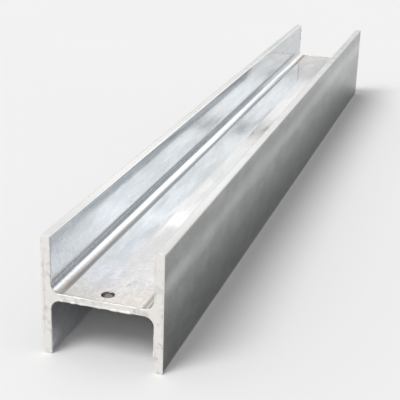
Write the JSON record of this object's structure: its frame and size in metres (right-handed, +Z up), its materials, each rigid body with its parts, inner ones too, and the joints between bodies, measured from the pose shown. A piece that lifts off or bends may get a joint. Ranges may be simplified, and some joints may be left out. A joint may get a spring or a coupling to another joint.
{
  "type": "steel h-beam",
  "caption": "Short wide-flange steel H-beam, hot-dip galvanised, with parallel flanges, rounded web roots and a hanging hole at one end; a post, column or beam in construction.",
  "frame": {"origin": "middle of the footprint, on the plane that the flange toes rest on", "axes": "+Y along the beam, away from the end with the hole; +X across the section from flange to flange; +Z up, along the width of the upright flanges, with the web level"},
  "size_m": [0.1, 0.9, 0.1],
  "materials": {
    "zinc_coated_steel": "hot-dip galvanised, satin pale grey with faint mottling"
  },
  "bodies": {
    "root": {"h_beam": "zinc_coated_steel"}
  },
  "joints": []
}
